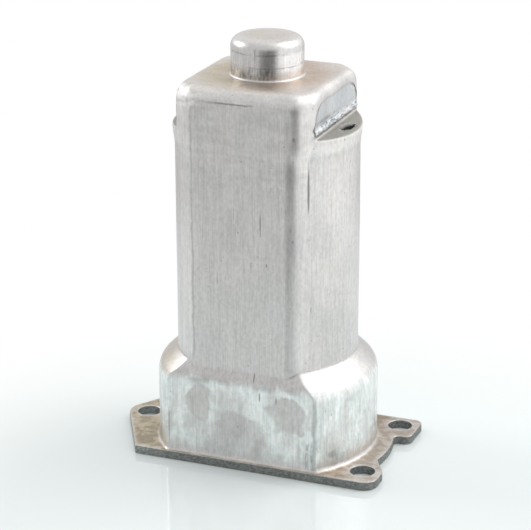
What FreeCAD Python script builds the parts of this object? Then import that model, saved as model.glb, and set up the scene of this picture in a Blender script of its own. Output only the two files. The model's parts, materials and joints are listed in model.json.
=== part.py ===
import FreeCAD, Part
import math
import os

from FreeCAD import Vector

# One deep drawn sheet metal can. The can's axis is +Z, the flange's underside is the plane z = 0,
# the two flats face -Y and +Y, and the two round sides face -X and +X. All sizes are in millimetres.
# The can is drawn as its outside form less the same form moved in by one sheet thickness.

# Sheet
sheet = 2.0

# Wide base of the can, with a flat pressed into its round form on each side to this share of its radius
base_r = 25.0
flat_depth_share = 0.294
base_flat_y = base_r - flat_depth_share * base_r
base_crease_r = 2.2
base_top_z = 18.3
shoulder_r = 4.2
shoulder_normal_deg = 47.0

# Long body above the shoulder, set in from the base all round
shoulder_width = 4.55
flat_step = 0.9
body_r = base_r - shoulder_width
body_flat_y = base_flat_y - flat_step
body_crease_r = 4.4

# Height at which the shoulder's slope reaches the body
shoulder_turn = math.radians(shoulder_normal_deg)
slope_start_r = base_r - shoulder_r * (1 - math.cos(shoulder_turn))
slope_start_z = base_top_z + shoulder_r * math.sin(shoulder_turn)
shoulder_end_z = slope_start_z + (slope_start_r - body_r) / math.tan(shoulder_turn)

# Soft step on each flat, curving from the base's flat in to the body's flat a little below the shoulder's end
step_rise_ratio = 3.44
step_below_shoulder = 1.47
step_end_deg = 70.0
step_high_z = shoulder_end_z - step_below_shoulder
step_low_z = step_high_z - step_rise_ratio * flat_step

# Rounding of the seam where the base and the body meet
seam_r = 0.6

# Head of the body, which the pressed-in facets push out a little on the round sides
head_bulge = 0.45
head_r = body_r + head_bulge
head_top_z = 87.15
head_top_r = 3.6

# Facet pressed in on each round side of the head, and the ledge below it
facet_depth = 4.85
facet_x = head_r - facet_depth
facet_height = 10.05
facet_root_r = 1.2
facet_border_r = 1.0
ledge_z = head_top_z - facet_height
ledge_slope_deg = 7.5

# The head swells to its full size over this rise, a little below the ledge
swell_below_ledge = 1.2
swell_rise = 3.4
head_high_z = ledge_z - swell_below_ledge
head_low_z = head_high_z - swell_rise

# Slit torn through the middle of each ledge
slit_from_facet = 2.35
slit_x = facet_x + slit_from_facet
slit_width = 1.7
slit_length = 6.0
slit_corner_r = 0.8

# Bearing boss on the closed end
boss_r = 8.05
boss_h = 8.65
boss_edge_r = 2.3
boss_root_r = 0.5

# Flange: it stands out a little beyond the base's flats and further beyond the round sides
flange_side = 0.65
flange_reach = 4.0
flange_half_y = base_flat_y + flange_side
flange_arc_r = base_r + flange_reach
root_r = 1.1
mouth_edge_r = 2.0

# Screw holes: one on -X and two on +X, all in one pattern that sits a little towards +Y
hole_r = 2.75
hole_row_y = 0.85
left_hole_out = 1.5
right_hole_in = 1.7
hole_margin = 4.95
left_hole_x = flange_arc_r + left_hole_out
right_hole_x = flange_arc_r - right_hole_in
right_hole_spacing = 2 * (flange_half_y - hole_margin)

# Ears around the screw holes
left_ear_r = 4.7
left_ear_corner_in = 3.6
left_ear_corner_x = flange_arc_r - left_ear_corner_in
right_ear_out = 2.7
right_ear_x = flange_arc_r + right_ear_out
front_ear_width = 6.7
front_ear_side_y = flange_half_y - front_ear_width
front_ear_side_deg = 62.0
front_ear_corner_r = 3.2
front_ear_side_r = 3.0
back_ear_width = 10.1
back_ear_side_y = flange_half_y - back_ear_width
back_ear_corner_r = 1.8
ear_root_r = 1.2

# Room beyond the metal that a cutting tool reaches, and the largest gap that counts as touching
spare = 10.0
touch = 0.001


def outline_face(entries, place):
    """Face inside a closed outline. An entry of two points is a line, one of three an arc."""
    edges = []
    for entry in entries:
        corners = [place(*point) for point in entry]
        edges.append(Part.Arc(*corners).toShape() if len(corners) == 3 else Part.makeLine(*corners))
    return Part.Face(Part.Wire(edges))


def polygon_face(points, place):
    """Face inside a polygon."""
    return outline_face(list(zip(points, points[1:] + points[:1])), place)


def at_floor(x, y):
    """Place of a plan point on the flange's underside."""
    return Vector(x, y, 0)


def both_sides(solid):
    """The solid and its mirror image across the plane x = 0."""
    return [solid, solid.mirror(Vector(0, 0, 0), Vector(1, 0, 0))]


def middle_of(edge):
    """Point halfway along an edge."""
    return edge.valueAt((edge.FirstParameter + edge.LastParameter) / 2)


def edges_at_height(solid, height):
    """Edges that lie wholly at one height."""
    return [edge for edge in solid.Edges
            if abs(edge.BoundBox.ZMin - height) < touch and abs(edge.BoundBox.ZMax - height) < touch]


def upright_edges(solid, fits):
    """Upright edges whose plan point (x, y) passes a test."""
    return [edge for edge in solid.Edges
            if max(edge.BoundBox.XLength, edge.BoundBox.YLength) < touch
            and fits(edge.CenterOfMass.x, edge.CenterOfMass.y)]


def seam_edges(solid, first, second):
    """Edges of a fused solid along which the surfaces of its two halves meet."""
    found = []
    for edge in solid.Edges:
        middle = Part.Vertex(middle_of(edge))
        if all(half.Shells[0].distToShape(middle)[0] < touch for half in (first, second)):
            found.append(edge)
    return found


def double_d(radius, flat_y, corner_r, height):
    """Closed wire of a circle with two flats and four rounded creases."""
    corner_y = flat_y - corner_r
    corner_x = math.sqrt((radius - corner_r) ** 2 - corner_y ** 2)
    angle = math.atan2(corner_y, corner_x)
    middle = (math.pi / 2 + angle) / 2
    arc_end = (radius * math.cos(angle), radius * math.sin(angle))
    bulge = (corner_x + corner_r * math.cos(middle), corner_y + corner_r * math.sin(middle))
    flat_end = (corner_x, flat_y)

    def quarter(point, sign_x, sign_y):
        return Vector(sign_x * point[0], sign_y * point[1], height)

    edges = []
    for sign_x in (1, -1):
        for sign_y in (1, -1):
            crease = [quarter(point, sign_x, sign_y) for point in (arc_end, bulge, flat_end)]
            edges.append(Part.Arc(*crease).toShape())
        side = Vector(sign_x * radius, 0, height)
        edges.append(Part.Arc(quarter(arc_end, sign_x, 1), side, quarter(arc_end, sign_x, -1)).toShape())
    for sign_y in (1, -1):
        edges.append(Part.makeLine(quarter(flat_end, 1, sign_y), quarter(flat_end, -1, sign_y)))
    return Part.Wire(Part.__sortEdges__(edges))


def ledge_point(x, inset):
    """Point (x, z) of the ledge's plane, the plane moved in by the inset."""
    slope = math.radians(ledge_slope_deg)
    return (x, ledge_z - (x - facet_x) * math.tan(slope) - inset / math.cos(slope))


def facet_cutter(inset):
    """Tool that cuts the facet, its concave root and the ledge on +X."""
    slope = math.radians(ledge_slope_deg)
    high = head_top_z + spare
    reach = head_r + spare
    near, corner_z = ledge_point(facet_x - inset, inset)
    round_r = facet_root_r + inset
    centre = (near + round_r, corner_z + round_r * math.tan((math.pi / 2 - slope) / 2))

    def on_round(turn):
        return (centre[0] + round_r * math.cos(turn), centre[1] + round_r * math.sin(turn))

    ledge_turn = 1.5 * math.pi - slope
    facet_end = on_round(math.pi)
    ledge_start = on_round(ledge_turn)
    far = ledge_point(reach, inset)
    face = outline_face([
        [(near, high), facet_end],
        [facet_end, on_round((math.pi + ledge_turn) / 2), ledge_start],
        [ledge_start, far],
        [far, (reach, high)],
        [(reach, high), (near, high)],
    ], lambda x, z: Vector(x, -reach, z))
    return face.extrude(Vector(0, 2 * reach, 0))


def ledge_rims(solid):
    """Outer edge of each ledge, where it meets the head's round side."""
    found = []
    for edge in solid.Edges:
        points = [vertex.Point for vertex in edge.Vertexes] + [middle_of(edge)]
        on_ledge = all(abs(point.z - ledge_point(abs(point.x), 0)[1]) < touch for point in points)
        on_round = all(abs(math.hypot(point.x, point.y) - head_r) < touch for point in points)
        if on_ledge and on_round:
            found.append(edge)
    return found


def body_form(inset, low_z):
    """Long body with its head: the facets are pressed in and the top edge is rounded."""
    top = head_top_z - inset
    heights = ((body_r, low_z), (body_r, head_low_z), (head_r, head_high_z), (head_r, top))
    wires = [double_d(radius - inset, body_flat_y - inset, body_crease_r - inset, height)
             for radius, height in heights]
    solid = Part.makeLoft(wires, True, True)
    for cutter in both_sides(facet_cutter(inset)):
        solid = solid.cut(cutter)
    # A ledge's rim and its facet's borders are one smooth chain, and the rounding runs along all of it.
    # On the inside it would be tighter than the sheet is thick, so the hollow stays sharp there.
    if facet_border_r > inset:
        solid = solid.makeFillet(facet_border_r - inset, ledge_rims(solid))
    return solid.makeFillet(head_top_r - inset, edges_at_height(solid, top))


def turned_base(inset, low_z):
    """Round base and sloping shoulder, turned about the axis. It ends inside the body."""
    outer_r = base_r - inset
    round_r = shoulder_r - inset
    centre_r = base_r - shoulder_r

    def on_round(turn):
        return (centre_r + round_r * math.cos(turn), base_top_z + round_r * math.sin(turn))

    slope_low = on_round(shoulder_turn)
    inner_r = body_r - inset - sheet
    slope_high_z = slope_low[1] + (slope_low[0] - inner_r) / math.tan(shoulder_turn)
    face = outline_face([
        [(0, low_z), (outer_r, low_z)],
        [(outer_r, low_z), (outer_r, base_top_z)],
        [(outer_r, base_top_z), on_round(shoulder_turn / 2), slope_low],
        [slope_low, (inner_r, slope_high_z)],
        [(inner_r, slope_high_z), (0, slope_high_z)],
        [(0, slope_high_z), (0, low_z)],
    ], lambda radius, height: Vector(radius, 0, height))
    return face.revolve(Vector(0, 0, 0), Vector(0, 0, 1), 360)


def flats_slab(inset, low_z):
    """Slab between the base's two flats, curving in at the soft step."""
    flat_y = base_flat_y - inset
    step_r = ((step_high_z - step_low_z) ** 2 + flat_step ** 2) / (2 * flat_step)

    def on_step(turn):
        return (flat_y - step_r * (1 - math.cos(turn)), step_low_z + step_r * math.sin(turn))

    last = math.radians(step_end_deg)
    side = [
        [(flat_y, low_z - spare), on_step(0)],
        [on_step(0), on_step(last / 2), on_step(last)],
    ]
    other = [[(-y, z) for y, z in reversed(entry)] for entry in reversed(side)]
    top = [[side[-1][-1], other[0][0]]]
    bottom = [[other[-1][-1], side[0][0]]]
    reach = base_r + spare
    face = outline_face(side + top + other + bottom, lambda y, z: Vector(-reach, y, z))
    return face.extrude(Vector(2 * reach, 0, 0))


def base_form(inset, low_z):
    """Wide base with its two flats and rounded creases."""
    solid = turned_base(inset, low_z).common(flats_slab(inset, low_z))
    creases = []
    for edge in solid.Edges:
        box = edge.BoundBox
        if box.ZLength > touch and (box.YMin > touch or box.YMax < -touch):
            creases.append(edge)
    return solid.makeFillet(base_crease_r - inset / 2, creases)


def boss_form(inset, low_z):
    """Round boss with its edge rounded."""
    top = head_top_z + boss_h - inset
    solid = Part.makeCylinder(boss_r - inset, top - low_z, Vector(0, 0, low_z))
    return solid.makeFillet(boss_edge_r - inset, edges_at_height(solid, top))


def can_form(inset, low_z):
    """The whole can without its flange: the outside at no inset, the hollow at one sheet's inset."""
    base = base_form(inset, low_z)
    body = body_form(inset, low_z)
    solid = body.fuse(base).removeSplitter()
    solid = solid.makeFillet(seam_r, seam_edges(solid, body, base))
    top = head_top_z - inset
    solid = solid.fuse(boss_form(inset, top - sheet)).removeSplitter()
    ring = [edge for edge in edges_at_height(solid, top) if edge.BoundBox.XLength < 2 * boss_r + touch]
    return solid.makeFillet(boss_root_r + inset, ring)


def left_ear():
    """Ear on -X: two slanted sides that touch a round end about the screw hole."""
    touches = []
    for sign in (-1, 1):
        to_hole = Vector(left_ear_corner_x - left_hole_x, hole_row_y - sign * flange_half_y, 0)
        away = math.atan2(to_hole.y, to_hole.x)
        turn = away - sign * math.asin(left_ear_r / to_hole.Length)
        run = math.sqrt(to_hole.Length ** 2 - left_ear_r ** 2)
        corner = Vector(-left_ear_corner_x, sign * flange_half_y, 0)
        point = corner + run * Vector(math.cos(turn), math.sin(turn), 0)
        touches.append((point.x, point.y))
    end = (-left_hole_x - left_ear_r, hole_row_y)
    front = (-left_ear_corner_x, -flange_half_y)
    back = (-left_ear_corner_x, flange_half_y)
    return outline_face([
        [(0, -flange_half_y), front],
        [front, touches[0]],
        [touches[0], end, touches[1]],
        [touches[1], back],
        [back, (0, flange_half_y)],
        [(0, flange_half_y), (0, -flange_half_y)],
    ], at_floor).extrude(Vector(0, 0, sheet))


def rounded_at(solid, x, y, radius):
    """The solid with its upright edge at a plan point rounded."""
    corner = upright_edges(solid, lambda edge_x, edge_y: math.hypot(edge_x - x, edge_y - y) < touch)
    return solid.makeFillet(radius, corner)


def right_ears():
    """Front ear with one slanted side, and back ear with one straight side, both on +X."""
    inner_x = flange_arc_r / 2
    slant_x = right_ear_x - front_ear_side_y / math.tan(math.radians(front_ear_side_deg))
    front = polygon_face([
        (inner_x, -flange_half_y),
        (right_ear_x, -flange_half_y),
        (right_ear_x, -front_ear_side_y),
        (slant_x, 0),
        (inner_x, 0),
    ], at_floor).extrude(Vector(0, 0, sheet))
    front = rounded_at(front, right_ear_x, -flange_half_y, front_ear_corner_r)
    front = rounded_at(front, right_ear_x, -front_ear_side_y, front_ear_side_r)
    back = polygon_face([
        (inner_x, back_ear_side_y),
        (right_ear_x, back_ear_side_y),
        (right_ear_x, flange_half_y),
        (inner_x, flange_half_y),
    ], at_floor).extrude(Vector(0, 0, sheet))
    back = rounded_at(back, right_ear_x, back_ear_side_y, back_ear_corner_r)
    back = rounded_at(back, right_ear_x, flange_half_y, back_ear_corner_r)
    return [front, back]


def flange_trim():
    """Column over the flange's outline, taller than the can."""
    disc = Part.makeCylinder(flange_arc_r, sheet)
    corner = Vector(-flange_arc_r, -flange_half_y, 0)
    slab = Part.makeBox(2 * flange_arc_r, 2 * flange_half_y, sheet, corner)
    plate = disc.common(slab).fuse([left_ear()] + right_ears()).removeSplitter()
    roots = upright_edges(plate, lambda x, y: abs(math.hypot(x, y) - flange_arc_r) < touch)
    plate = plate.makeFillet(ear_root_r, roots)
    underside = [face for face in plate.Faces if face.BoundBox.ZMax < touch][0]
    return underside.extrude(Vector(0, 0, head_top_z + boss_h + spare))


def hole_places():
    """Plan points of the three screw holes."""
    half = right_hole_spacing / 2
    right = [(right_hole_x, hole_row_y + sign * half) for sign in (-1, 1)]
    return [(-left_hole_x, hole_row_y)] + right


def slit_cutter():
    """Tool for the slit in the ledge on +X."""
    low = Vector(slit_x - slit_width / 2, -slit_length / 2, ledge_z - 2 * sheet)
    solid = Part.makeBox(slit_width, slit_length, 3 * sheet, low)
    return solid.makeFillet(slit_corner_r, upright_edges(solid, lambda x, y: True))


def housing():
    """The can with its flange, hollow, screw holes and slits."""
    # The flange is bent out of a wide round blank and then trimmed, so its root runs all the way round.
    blank_r = 2 * flange_arc_r
    solid = can_form(0, 0).fuse(Part.makeCylinder(blank_r, sheet)).removeSplitter()
    roots = [edge for edge in edges_at_height(solid, sheet) if edge.BoundBox.XLength < blank_r]
    solid = solid.makeFillet(root_r, roots).common(flange_trim())

    solid = solid.cut(can_form(sheet, -spare))
    mouth_reach = base_r - sheet + touch
    mouth = [edge for edge in edges_at_height(solid, 0)
             if all(math.hypot(vertex.X, vertex.Y) < mouth_reach for vertex in edge.Vertexes)]
    solid = solid.makeFillet(mouth_edge_r, mouth)

    for x, y in hole_places():
        solid = solid.cut(Part.makeCylinder(hole_r, 3 * sheet, Vector(x, y, -sheet)))
    for cutter in both_sides(slit_cutter()):
        solid = solid.cut(cutter)
    return solid.Solids[0]


def main():
    os.makedirs("parts", exist_ok=True)
    housing().exportStep("parts/housing.step")


main()
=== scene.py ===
import json
import math

import bpy
import numpy as np
from mathutils import Matrix, Vector, noise
from mathutils.geometry import delaunay_2d_cdt


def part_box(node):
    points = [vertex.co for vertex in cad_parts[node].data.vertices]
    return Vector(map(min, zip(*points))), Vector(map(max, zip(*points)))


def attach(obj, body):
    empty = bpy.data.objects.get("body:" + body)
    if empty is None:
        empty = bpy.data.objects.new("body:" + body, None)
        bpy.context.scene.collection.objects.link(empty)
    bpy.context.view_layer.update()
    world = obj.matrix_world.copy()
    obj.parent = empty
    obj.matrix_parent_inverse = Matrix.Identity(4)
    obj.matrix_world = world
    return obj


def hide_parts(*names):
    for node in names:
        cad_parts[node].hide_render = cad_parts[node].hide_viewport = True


# The can is modelled in millimetres, with the frame's axes, and scaled to metres at the end
MM = 0.001

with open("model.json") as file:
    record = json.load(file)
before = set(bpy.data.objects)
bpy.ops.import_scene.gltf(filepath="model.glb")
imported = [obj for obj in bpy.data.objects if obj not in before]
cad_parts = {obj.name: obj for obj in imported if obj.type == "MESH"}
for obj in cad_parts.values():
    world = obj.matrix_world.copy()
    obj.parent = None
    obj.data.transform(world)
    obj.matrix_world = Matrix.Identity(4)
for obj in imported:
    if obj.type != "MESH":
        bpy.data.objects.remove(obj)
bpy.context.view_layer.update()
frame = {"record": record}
mounts = {mount["name"]: mount for mount in frame["record"]["mounts"]}
box_high = np.array(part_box("housing")[1]) / MM

# Sheet, base and shoulder
SHEET = mounts["left_screw_hole"]["dims"]["length_mm"]
BASE_R, BASE_FLAT, BASE_CREASE, BASE_TOP = 25.0, 17.65, 2.2, 18.3
SHOULDER_R, SHOULDER_TURN = 4.2, math.radians(47.0)
STEP_LOW, STEP_HIGH = 19.8, 22.9
BODY_START, SEAM = 25.0, 0.36

# Body and head
BODY_R, BODY_FLAT, BODY_CREASE = 20.45, 16.75, 4.4
HEAD_R, HEAD_LOW, HEAD_HIGH = 20.9, 72.5, 75.9
HEAD_TOP, HEAD_TOP_R = 87.15, 3.6
FACET_X, FACET_TOP_R, LEDGE_Z, LEDGE_SLOPE = 16.05, 2.3, 77.1, math.radians(7.5)

# Boss
BOSS_R = mounts["bearing_pocket"]["dims"]["r_mm"] + SHEET
BOSS_TOP, BOSS_EDGE, BOSS_ROOT = box_high[2], 2.3, 0.5

# Flange with its ears and screw holes
ROOT_R, MOUTH_R, FLANGE_R = 1.1, 2.0, 29.0
FLANGE_Y = box_high[1]
EAR_X = box_high[0]
EAR_CORNER_R, EAR_SIDE_R, BACK_EAR_R, EAR_ROOT_R = 3.2, 3.0, 1.8, 1.2
FRONT_EAR_SIDE_Y, FRONT_EAR_TURN, BACK_EAR_SIDE_Y = -11.6, math.radians(118.0), 8.2
LEFT_EAR_R, LEFT_EAR_CORNER_X = 4.7, -25.4
HOLE_R = mounts["left_screw_hole"]["dims"]["r_mm"]
EDGE, RIM_STEP, NO_AREA = 0.14, 0.6, 1e-4
HOLE_SIDES, TOP_SPACING, FLOOR_SPACING = 64, 1.1, 2.5

# Rings down a sheared edge: height, and the share of the roughness
SHEARED_RINGS = (
    (SHEET - EDGE, 0.1),
    (1.55, 0.15),
    (1.35, 0.3),
    (1.15, 1.0),
    (0.85, 1.1),
    (0.5, 1.0),
    (EDGE, 0.6),
)


def hole_places():
    """Plan points of the three screw holes, in millimetres."""
    left = [value / MM for value in mounts["left_screw_hole"]["pos_m"][:2]]
    x, y = (value / MM for value in mounts["right_screw_holes"]["pos_m"][:2])
    half = mounts["right_screw_holes"]["dims"]["spacing_y_mm"] / 2
    return [tuple(left), (x, y - half), (x, y + half)]


HOLES = hole_places()

# Columns in each quarter of the outer and the inner skin: side, flank, crease, flat
OUTER = (38, 8, 12, 19)
INNER = (19, 4, 6, 9)

# The flats are pressed in along a shallow groove with rounded corners
GROOVE_X, GROOVE_TOP, GROOVE_CORNER = 11.3, 84.2, 2.6
GROOVE_DEPTH, GROOVE_WIDTH = 0.13, 0.55
DENT_DEPTH, DENT_WIDTH = 0.20, 0.36
ROLL_HEIGHT, ROLL_WIDTH, ROLL_Z = 0.36, 0.55, 78.5

# Faint rings that the die left
BASE_RING, BOSS_RING, BOSS_HIGH_RING = 16.4, 90.1, 93.0

# Each facet is a panel with an arched border
ARCH_Y, ARCH_TOP, ARCH_R, PANEL_DEPTH = 13.5, 84.6, 6.0, 0.15

# Ragged tear in each ledge
TEAR_X, TEAR_WIDE, TEAR_LONG, TEAR_MARGIN = 18.3, 0.9, 3.1, 0.5
TEAR_LIP, TEAR_RAGGED, TEAR_SLANT = 0.75, 0.30, 0.17


def smooth(low, high, value):
    """Smooth step from 0 at low to 1 at high."""
    t = np.clip((value - low) / (high - low), 0, 1)
    return t * t * (3 - 2 * t)


def bell(value, width):
    """Bell curve that is 1 at zero."""
    return np.exp(-(value / width) ** 2)


def soft_max(a, b, width):
    """Larger of two values, blended where they are closer than the width."""
    h = np.clip(0.5 + 0.5 * (a - b) / width, 0, 1)
    return b + (a - b) * h + width * h * (1 - h)


def soft_min(a, b, width):
    """Smaller of two values, blended where they are closer than the width."""
    return -soft_max(-a, -b, width)


def rough(points, scale):
    """Smooth noise from -1 to 1 at each point, with one scale for each axis."""
    return np.array([noise.noise(Vector(point)) for point in points * np.array(scale)])


# Outlines of the can, as a radius for each direction

def double_d(angle, radius, flat, crease):
    """Circle with two flats and four rounded creases."""
    a = np.arctan2(np.abs(np.sin(angle)), np.abs(np.cos(angle)))
    corner_y = flat - crease
    corner_x = np.sqrt((radius - crease) ** 2 - corner_y ** 2)
    start, end = np.arctan2(corner_y, corner_x), np.arctan2(flat, corner_x)
    along = corner_x * np.cos(a) + corner_y * np.sin(a)
    on_crease = along + np.sqrt(np.maximum(along ** 2 - (corner_x ** 2 + corner_y ** 2 - crease ** 2), 0))
    on_flat = flat / np.maximum(np.sin(a), 1e-6)
    return np.where(a < start, radius, np.where(a > end, on_flat, on_crease))


def base_outline(angle, z, inset):
    """Base with its shoulder and the soft step on its flats."""
    round_r = SHOULDER_R - inset
    cone_z = BASE_TOP + round_r * math.sin(SHOULDER_TURN)
    up = np.clip((z - BASE_TOP) / round_r, 0, math.sin(SHOULDER_TURN))
    radius = BASE_R - SHOULDER_R + round_r * np.sqrt(1 - up ** 2)
    radius = radius - np.maximum(z - cone_z, 0) * math.tan(SHOULDER_TURN)
    step = BASE_FLAT - BODY_FLAT
    step_r = ((STEP_HIGH - STEP_LOW) ** 2 + step ** 2) / (2 * step)
    rise = np.clip((z - STEP_LOW) / step_r, 0, 0.94)
    flat = BASE_FLAT - inset - step_r * (1 - np.sqrt(1 - rise ** 2))
    radius = np.maximum(radius, BODY_R - 1.5 - inset)
    flat = np.maximum(flat, BODY_FLAT - 1.5 - inset)
    crease = BASE_CREASE * (1 - 0.55 * smooth(BASE_TOP, BASE_TOP + 2.5, z))
    return double_d(angle, radius, flat, crease - inset / 2)


def body_outline(angle, z, inset):
    """Long body with its slightly wider head."""
    radius = BODY_R + (HEAD_R - BODY_R) * smooth(HEAD_LOW - 1, HEAD_HIGH + 0.3, z)
    return double_d(angle, radius - inset, BODY_FLAT - inset, BODY_CREASE - inset)


def wall_outline(angle, z, inset=0.0):
    """Base and body together, with the seam where they meet rounded."""
    return soft_max(base_outline(angle, z, inset), body_outline(angle, z, inset), SEAM)


def facet_outline(angle, inset):
    """Plane of the facet on each round side."""
    return (FACET_X - inset) / np.maximum(np.abs(np.cos(angle)), 1e-3)


def head_outline(angle, z, inset, drop=0.0):
    """Outline of the head above the ledge, moved in by the drop of the top edge's rounding.

    Outside, the facet's own top edge has a tighter rounding."""
    width, facet_drop = 0.1, drop
    if inset == 0.0:
        width = 0.26 + 0.7 * smooth(81.0, 85.5, z)
        up = np.clip((z - HEAD_TOP + FACET_TOP_R) / FACET_TOP_R, 0, 1)
        facet_drop = FACET_TOP_R * (1 - np.sqrt(1 - up ** 2))
    crease = np.maximum(BODY_CREASE - inset - drop, 0.3)
    round_part = double_d(angle, HEAD_R - inset - drop, BODY_FLAT - inset - drop, crease)
    return soft_min(round_part, facet_outline(angle, inset + facet_drop), width)


# Rows of points that make one skin of the can

def graded(count, bias):
    """Even steps from 0 to 1, pushed together at one end."""
    u = np.linspace(0, 1, count + 1)[:-1]
    return u + bias * (u - u * u)


def column_angles(z, counts):
    """Direction of each column at a height, gathered where the creases are."""
    to_body = smooth(16.5, BODY_START, z)
    to_head = smooth(HEAD_LOW, HEAD_HIGH, z)
    marks = []
    for base, body, head in ((37.0, 40.2, 39.8), (42.0, 49.2, 47.6), (47.1, 59.4, 57.8)):
        marks.append(base + (body - base) * to_body + (head - body) * to_head)
    stops = [0.0] + marks + [90.0]
    quarter = []
    for low, high, count, bias in zip(stops, stops[1:], counts, (0.25, 0.0, 0.0, -0.4)):
        quarter.append(low + (high - low) * graded(count, bias))
    quarter = np.concatenate(quarter)
    second = 180.0 - quarter[::-1]
    half = np.concatenate([quarter, [90.0], second[:-1]])
    return np.radians(np.concatenate([half, half + 180.0]))


def row_at(angle, radius, z):
    """Row of points from a radius and a height for each direction."""
    z = np.broadcast_to(z, angle.shape)
    return np.stack([radius * np.cos(angle), radius * np.sin(angle), z], axis=-1)


def polar_row(z, outline, counts):
    """Row of points at one height."""
    angle = column_angles(z, counts)
    return row_at(angle, outline(angle, z), z)


def turned_row(radius, z, counts):
    """Row on a circle."""
    return row_at(column_angles(HEAD_TOP, counts), radius, z)


def heights(*stops):
    """Heights from one stop to the next, each with its own spacing, without the first one."""
    found = []
    for (low, spacing), (high, _) in zip(stops, stops[1:]):
        count = max(1, round((high - low) / spacing))
        found += [low + (high - low) * step / count for step in range(1, count + 1)]
    return found


def ledge_plane(x, inset=0.0):
    """Height of the ledge at a distance from the middle plane."""
    return LEDGE_Z - inset / math.cos(LEDGE_SLOPE) - (x - FACET_X) * math.tan(LEDGE_SLOPE)


def ledge_rows(low, high, steps, inset, counts):
    """Rows that climb the wall, cross the ledge and climb the facet, with both bends rounded."""
    angle = column_angles(HEAD_HIGH, counts)
    outer = double_d(angle, HEAD_R - inset, BODY_FLAT - inset, BODY_CREASE - inset)
    inner = head_outline(angle, LEDGE_Z + 0.9, inset)
    columns = []
    for phi, r_out, r_in in zip(angle, outer, inner):
        across = abs(math.cos(phi))
        r_low = wall_outline(np.array([phi]), low, inset)[0]
        corners = np.array([
            (r_low, low),
            (r_out, ledge_plane(r_out * across, inset)),
            (r_in, ledge_plane(r_in * across, inset)),
            (r_in, high),
        ])
        marks = np.concatenate([[0], np.cumsum(np.linalg.norm(np.diff(corners, axis=0), axis=1))])
        dense = np.linspace(0, marks[-1], 241)
        line = np.stack([np.interp(dense, marks, corners[:, k]) for k in (0, 1)], axis=-1)
        reach = int(round(0.8 / (dense[1] - dense[0])))
        kernel = np.hanning(2 * reach + 3)[1:-1]
        kernel /= kernel.sum()
        before = 2 * line[0] - line[reach:0:-1]
        after = 2 * line[-1] - line[-2:-reach - 2:-1]
        padded = np.concatenate([before, line, after])
        soft = np.stack([np.convolve(padded[:, k], kernel, "valid") for k in (0, 1)], axis=-1)
        length = np.concatenate([[0], np.cumsum(np.linalg.norm(np.diff(soft, axis=0), axis=1))])
        even = np.linspace(0, length[-1], steps + 1)
        radius, z = (np.interp(even, length, soft[:, k]) for k in (0, 1))
        columns.append(np.stack([radius * math.cos(phi), radius * math.sin(phi), z], axis=-1))
    return np.stack(columns, axis=1)


def root_rows(counts, steps):
    """Rounding from the flange up to the base's wall.

    Along the flats it starts at the flange's trimmed edge."""
    angle = column_angles(0.0, counts)

    def at(drop):
        return double_d(angle, BASE_R + drop, BASE_FLAT + drop, BASE_CREASE + drop)

    low, high = np.zeros_like(angle), np.full_like(angle, ROOT_R)
    for _ in range(30):
        middle = (low + high) / 2
        outside = np.abs(at(middle) * np.sin(angle)) > FLANGE_Y
        high = np.where(outside, middle, high)
        low = np.where(outside, low, middle)
    trimmed = np.abs(at(np.full_like(angle, ROOT_R)) * np.sin(angle)) > FLANGE_Y
    start = np.arcsin(np.clip(1 - np.where(trimmed, low, ROOT_R) / ROOT_R, 0, 1))
    rows = []
    for step in range(steps + 1):
        turn = start + (math.pi / 2 - start) * step / steps
        rows.append(row_at(angle, at(ROOT_R * (1 - np.sin(turn))), SHEET + ROOT_R * (1 - np.cos(turn))))
    return rows, trimmed


def top_rows(inset, counts, round_steps, plate_steps, boss_steps):
    """Rounded top edge, plate, and boss, up to the last ring before the boss's middle."""
    rows = []
    edge_r, root_r = HEAD_TOP_R - inset, BOSS_ROOT + inset
    angle = column_angles(HEAD_TOP, counts)
    low_z, top_z = HEAD_TOP - HEAD_TOP_R, HEAD_TOP - inset
    for step in range(1, round_steps + 1):
        turn = math.pi / 2 * step / round_steps
        z = low_z + edge_r * math.sin(turn)
        rows.append(row_at(angle, head_outline(angle, z, inset, edge_r * (1 - math.cos(turn))), z))
    ring = turned_row(BOSS_R + BOSS_ROOT, top_z, counts)
    last = rows[-1]
    rows += [last + (ring - last) * step / plate_steps for step in range(1, plate_steps + 1)]
    for step in range(1, 7):
        turn = math.pi / 2 * step / 6
        radius = BOSS_R + BOSS_ROOT - root_r * math.sin(turn)
        rows.append(turned_row(radius, top_z + root_r * (1 - math.cos(turn)), counts))
    wall_low, wall_top = HEAD_TOP + BOSS_ROOT, BOSS_TOP - BOSS_EDGE
    for step in range(1, boss_steps + 1):
        rows.append(turned_row(BOSS_R - inset, wall_low + (wall_top - wall_low) * step / boss_steps, counts))
    round_r = BOSS_EDGE - inset
    edge_steps = 9 if inset == 0 else 3
    for step in range(1, edge_steps + 1):
        turn = math.pi / 2 * step / edge_steps
        radius = BOSS_R - BOSS_EDGE + round_r * math.cos(turn)
        rows.append(turned_row(radius, wall_top + round_r * math.sin(turn), counts))
    for share in (0.97, 0.75, 0.5, 0.25, 0.06):
        rows.append(turned_row((BOSS_R - BOSS_EDGE) * share, BOSS_TOP - inset, counts))
    return rows


def arch_depth(y, z):
    """How far inside the facet's arched border a place is."""
    across = np.maximum(np.abs(y) - (ARCH_Y - ARCH_R), 0)
    above = np.maximum(z - (ARCH_TOP - ARCH_R), 0)
    return ARCH_R - np.hypot(across, above)


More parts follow.
